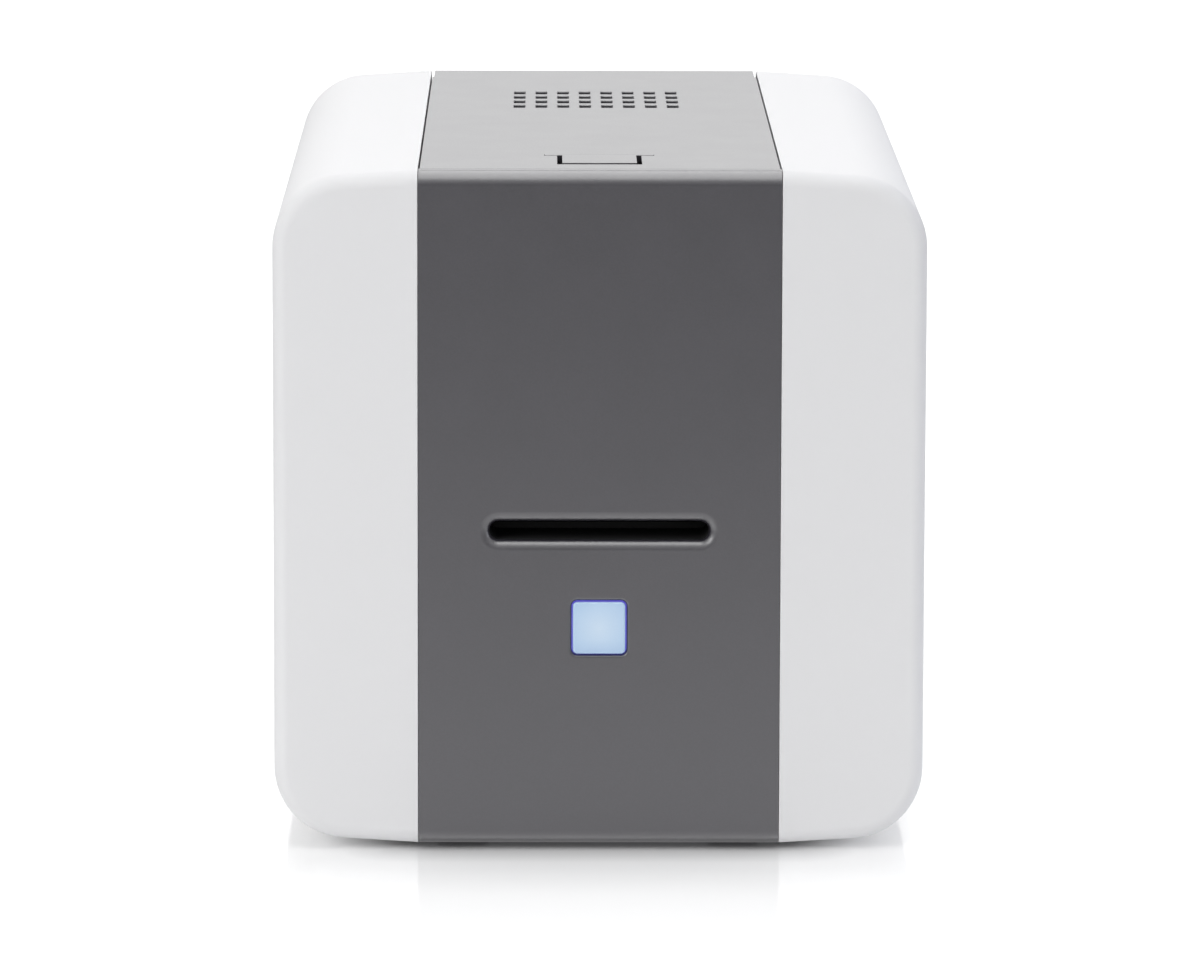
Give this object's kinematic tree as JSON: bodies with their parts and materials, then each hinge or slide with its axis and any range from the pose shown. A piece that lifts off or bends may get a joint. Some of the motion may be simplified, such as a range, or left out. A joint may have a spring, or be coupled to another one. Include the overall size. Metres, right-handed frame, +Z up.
{
  "type": "id card printer",
  "caption": "Desktop card printer with a slot and lit button in front, white side shells, and a rear-hinged cover over rollers, ribbon and print head.",
  "frame": {"origin": "middle of the footprint, on the table under the feet", "axes": "+X to the right seen from the front, +Y from the front panel to the back, +Z up"},
  "size_m": [0.178, 0.2686, 0.1875],
  "materials": {
    "white_shell": "satin moulded plastic, fine grain",
    "grey_panel": "satin moulded plastic, fine grain",
    "rubber": "matte",
    "black_plastic": "matte moulded plastic",
    "zinc_steel": "zinc plated sheet",
    "ground_steel": "ground bright",
    "motor_steel": "satin",
    "aluminium": "extruded satin",
    "bronze": "sintered, oiled",
    "cassette_grey": "satin",
    "ribbon": "thin glossy film",
    "circuit_board": "solder mask",
    "black_steel": "black oxide",
    "ceramic": "glazed ceramic",
    "acetal": "natural acetal",
    "spool_plastic": "satin",
    "roller_rubber": "ground rubber",
    "cleaning_rubber": "tacky silicone",
    "lit_lens": "translucent moulded lens, lit from behind"
  },
  "bodies": {
    "chassis": {"left_side_shell": "white_shell", "right_side_shell": "white_shell", "front_panel": "grey_panel", "rear_panel": "grey_panel", "base_pan": "grey_panel", "rubber_feet": "rubber", "slot_guide": "black_plastic", "left_frame_plate": "zinc_steel", "right_frame_plate": "zinc_steel", "frame_tie_rods": "ground_steel", "card_bed": "black_plastic", "roller_bushes": "bronze", "idler_studs": "ground_steel", "feed_motor": "motor_steel", "ribbon_motor": "motor_steel", "motor_brackets": "aluminium", "ribbon_cassette": "cassette_grey", "ribbon_film": "ribbon", "main_board": "circuit_board", "button_board": "circuit_board", "power_inlet": "black_plastic", "usb_port": "ground_steel", "switch_housing": "black_plastic", "latch_catch": "zinc_steel", "case_screws": "black_steel", "cover_hinge_pins": "ground_steel"},
    "cover": {"top_cover": "grey_panel", "cover_frame": "zinc_steel", "fan_frame": "black_plastic", "head_pivot_pin": "ground_steel", "cam_motor": "motor_steel"},
    "release_tab": {"cover_release_tab": "grey_panel"},
    "fan": {"fan_rotor": "black_plastic"},
    "head": {"head_carrier": "aluminium", "heat_sink": "aluminium", "print_head": "ceramic", "head_springs": "ground_steel"},
    "cam": {"head_cam_shaft": "acetal"},
    "button": {"front_button": "lit_lens"},
    "rocker": {"power_rocker": "black_plastic"},
    "platen": {"platen_roller": "roller_rubber", "platen_gear": "acetal"},
    "front_feed": {"front_feed_roller": "roller_rubber", "front_roller_gear": "acetal"},
    "mid_feed": {"mid_feed_roller": "roller_rubber", "mid_roller_gear": "acetal"},
    "rear_feed": {"rear_feed_roller": "roller_rubber", "rear_roller_gear": "acetal"},
    "front_idler": {"front_idler_gear": "acetal"},
    "mid_idler": {"mid_idler_gear": "acetal"},
    "rear_idler": {"rear_idler_gear": "acetal"},
    "feed_pinion": {"motor_pinion": "acetal"},
    "front_pinch": {"front_pinch_roller": "roller_rubber"},
    "mid_pinch": {"mid_pinch_roller": "roller_rubber"},
    "rear_pinch": {"rear_pinch_roller": "roller_rubber"},
    "cleaner": {"cleaning_roller": "cleaning_rubber"},
    "takeup": {"takeup_spool": "spool_plastic"},
    "takeup_drive": {"takeup_drive_gear": "acetal"},
    "supply": {"supply_spool": "spool_plastic"},
    "ribbon_drive": {"ribbon_pinion": "acetal"}
  },
  "joints": [
    {"name": "cover_hinge", "type": "hinge", "parent": "chassis", "child": "cover", "pos_m": [0, 0.1163, 0.112], "axis": [-1, 0, 0], "range_deg": [0, 80]},
    {"name": "tab_press", "type": "hinge", "parent": "cover", "child": "release_tab", "pos_m": [0, -0.0947, 0.1835], "axis": [1, 0, 0], "range_deg": [0, 6], "stiffness_Nm_per_rad": 0.5},
    {"name": "fan_spin", "type": "hinge", "parent": "cover", "child": "fan", "pos_m": [0, 0.0481, 0.175], "axis": [0, 0, 1], "continuous": true},
    {"name": "head_lift", "type": "hinge", "parent": "cover", "child": "head", "pos_m": [0, 0.0278, 0.118], "axis": [-1, 0, 0], "range_deg": [0, 2], "stiffness_Nm_per_rad": 30, "springref_deg": -2.86},
    {"name": "cam_spin", "type": "hinge", "parent": "cover", "child": "cam", "pos_m": [0, 0.0163, 0.15], "axis": [1, 0, 0], "continuous": true},
    {"name": "button_press", "type": "slide", "parent": "chassis", "child": "button", "axis": [0, 1, 0], "range_m": [0, 0.001], "stiffness_N_per_m": 600},
    {"name": "power_rock", "type": "hinge", "parent": "chassis", "child": "rocker", "pos_m": [0.033, 0.1268, 0.044], "axis": [0, 0, 1], "range_deg": [-7, 7]},
    {"name": "platen_spin", "type": "hinge", "parent": "chassis", "child": "platen", "pos_m": [0, 0.0163, 0.08135], "axis": [1, 0, 0], "continuous": true},
    {"name": "front_feed_spin", "type": "hinge", "parent": "chassis", "child": "front_feed", "pos_m": [0, -0.1037, 0.08135], "axis": [1, 0, 0], "continuous": true},
    {"name": "mid_feed_spin", "type": "hinge", "parent": "chassis", "child": "mid_feed", "pos_m": [0, -0.0437, 0.08135], "axis": [1, 0, 0], "continuous": true},
    {"name": "rear_feed_spin", "type": "hinge", "parent": "chassis", "child": "rear_feed", "pos_m": [0, 0.0763, 0.08135], "axis": [1, 0, 0], "continuous": true},
    {"name": "front_idler_spin", "type": "hinge", "parent": "chassis", "child": "front_idler", "pos_m": [0, -0.0737, 0.08135], "axis": [1, 0, 0], "continuous": true},
    {"name": "mid_idler_spin", "type": "hinge", "parent": "chassis", "child": "mid_idler", "pos_m": [0, -0.0137, 0.08135], "axis": [1, 0, 0], "continuous": true},
    {"name": "rear_idler_spin", "type": "hinge", "parent": "chassis", "child": "rear_idler", "pos_m": [0, 0.0463, 0.08135], "axis": [1, 0, 0], "continuous": true},
    {"name": "motor_spin", "type": "hinge", "parent": "chassis", "child": "feed_pinion", "pos_m": [0, -0.0137, 0.05735], "axis": [1, 0, 0], "continuous": true},
    {"name": "front_pinch_spin", "type": "hinge", "parent": "chassis", "child": "front_pinch", "pos_m": [0, -0.1037, 0.09415], "axis": [1, 0, 0], "continuous": true},
    {"name": "mid_pinch_spin", "type": "hinge", "parent": "chassis", "child": "mid_pinch", "pos_m": [0, -0.0437, 0.09415], "axis": [1, 0, 0], "continuous": true},
    {"name": "rear_pinch_spin", "type": "hinge", "parent": "chassis", "child": "rear_pinch", "pos_m": [0, 0.0763, 0.09415], "axis": [1, 0, 0], "continuous": true},
    {"name": "cleaner_spin", "type": "hinge", "parent": "chassis", "child": "cleaner", "pos_m": [0, -0.0737, 0.09515], "axis": [1, 0, 0], "continuous": true},
    {"name": "supply_spin", "type": "hinge", "parent": "chassis", "child": "supply", "pos_m": [0, 0.0563, 0.125], "axis": [1, 0, 0], "continuous": true},
    {"name": "takeup_spin", "type": "hinge", "parent": "chassis", "child": "takeup", "pos_m": [0, -0.0237, 0.125], "axis": [1, 0, 0], "continuous": true},
    {"name": "takeup_drive_spin", "type": "hinge", "parent": "chassis", "child": "takeup_drive", "pos_m": [0, -0.0237, 0.125], "axis": [1, 0, 0], "continuous": true},
    {"name": "ribbon_motor_spin", "type": "hinge", "parent": "chassis", "child": "ribbon_drive", "pos_m": [0, -0.0477, 0.125], "axis": [1, 0, 0], "continuous": true}
  ],
  "couplings": [
    {"joint": "front_feed_spin", "follows": "platen_spin", "ratio": 1},
    {"joint": "mid_feed_spin", "follows": "platen_spin", "ratio": 1},
    {"joint": "rear_feed_spin", "follows": "platen_spin", "ratio": 1},
    {"joint": "front_idler_spin", "follows": "platen_spin", "ratio": -0.66667},
    {"joint": "mid_idler_spin", "follows": "platen_spin", "ratio": -0.66667},
    {"joint": "rear_idler_spin", "follows": "platen_spin", "ratio": -0.66667},
    {"joint": "motor_spin", "follows": "platen_spin", "ratio": 2},
    {"joint": "front_pinch_spin", "follows": "platen_spin", "ratio": -1.4},
    {"joint": "mid_pinch_spin", "follows": "platen_spin", "ratio": -1.4},
    {"joint": "rear_pinch_spin", "follows": "platen_spin", "ratio": -1.4},
    {"joint": "cleaner_spin", "follows": "platen_spin", "ratio": -1.1667},
    {"joint": "takeup_spin", "follows": "supply_spin", "ratio": -1.4545},
    {"joint": "takeup_drive_spin", "follows": "supply_spin", "ratio": -1.4545},
    {"joint": "ribbon_motor_spin", "follows": "supply_spin", "ratio": 4.3636}
  ]
}
